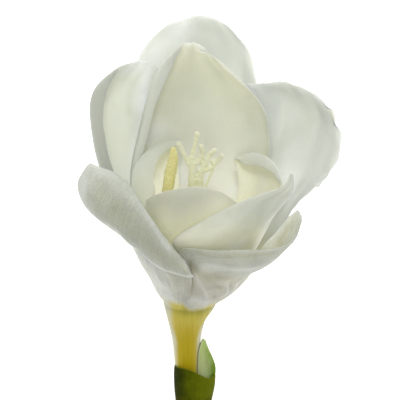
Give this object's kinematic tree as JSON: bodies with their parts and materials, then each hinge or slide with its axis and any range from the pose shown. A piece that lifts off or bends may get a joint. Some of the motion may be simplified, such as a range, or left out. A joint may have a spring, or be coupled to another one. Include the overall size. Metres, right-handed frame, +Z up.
{
  "type": "freesia flower",
  "caption": "Cut white freesia flower lying on its back: curved petals round a yellow throat, a narrow tube, green bracts and a short piece of stem.",
  "frame": {"origin": "middle of the flower's box in X and Y, on the surface that it lies on", "axes": "+Y along the flower, from the cut stem to the tip of the back petal; +Z up, out of the open side of the bloom"},
  "size_m": [0.0528, 0.0912, 0.041],
  "materials": {
    "petal_white": "matt, soft petal skin",
    "inner_petal_white": "matt, soft petal skin",
    "tube_yellow": "satin, fleshy",
    "style_cream": "matt",
    "anther_yellow": "matt, powdery",
    "bract_green": "satin, fleshy"
  },
  "bodies": {
    "root": {"petal_back": "petal_white", "petal_left": "petal_white", "petal_right": "petal_white", "petal_reflexed": "petal_white", "petal_front": "petal_white", "petal_hood": "inner_petal_white", "inner_petal_left": "inner_petal_white", "inner_petal_front": "inner_petal_white", "inner_petal_pointed": "inner_petal_white", "inner_petal_right": "inner_petal_white", "perianth_tube": "tube_yellow", "bract_outer": "bract_green", "bract_inner": "bract_green", "ovary": "bract_green", "stem": "bract_green", "style": "style_cream", "stamen_left": "anther_yellow", "stamen_right": "anther_yellow", "stamen_front": "anther_yellow"}
  },
  "joints": []
}
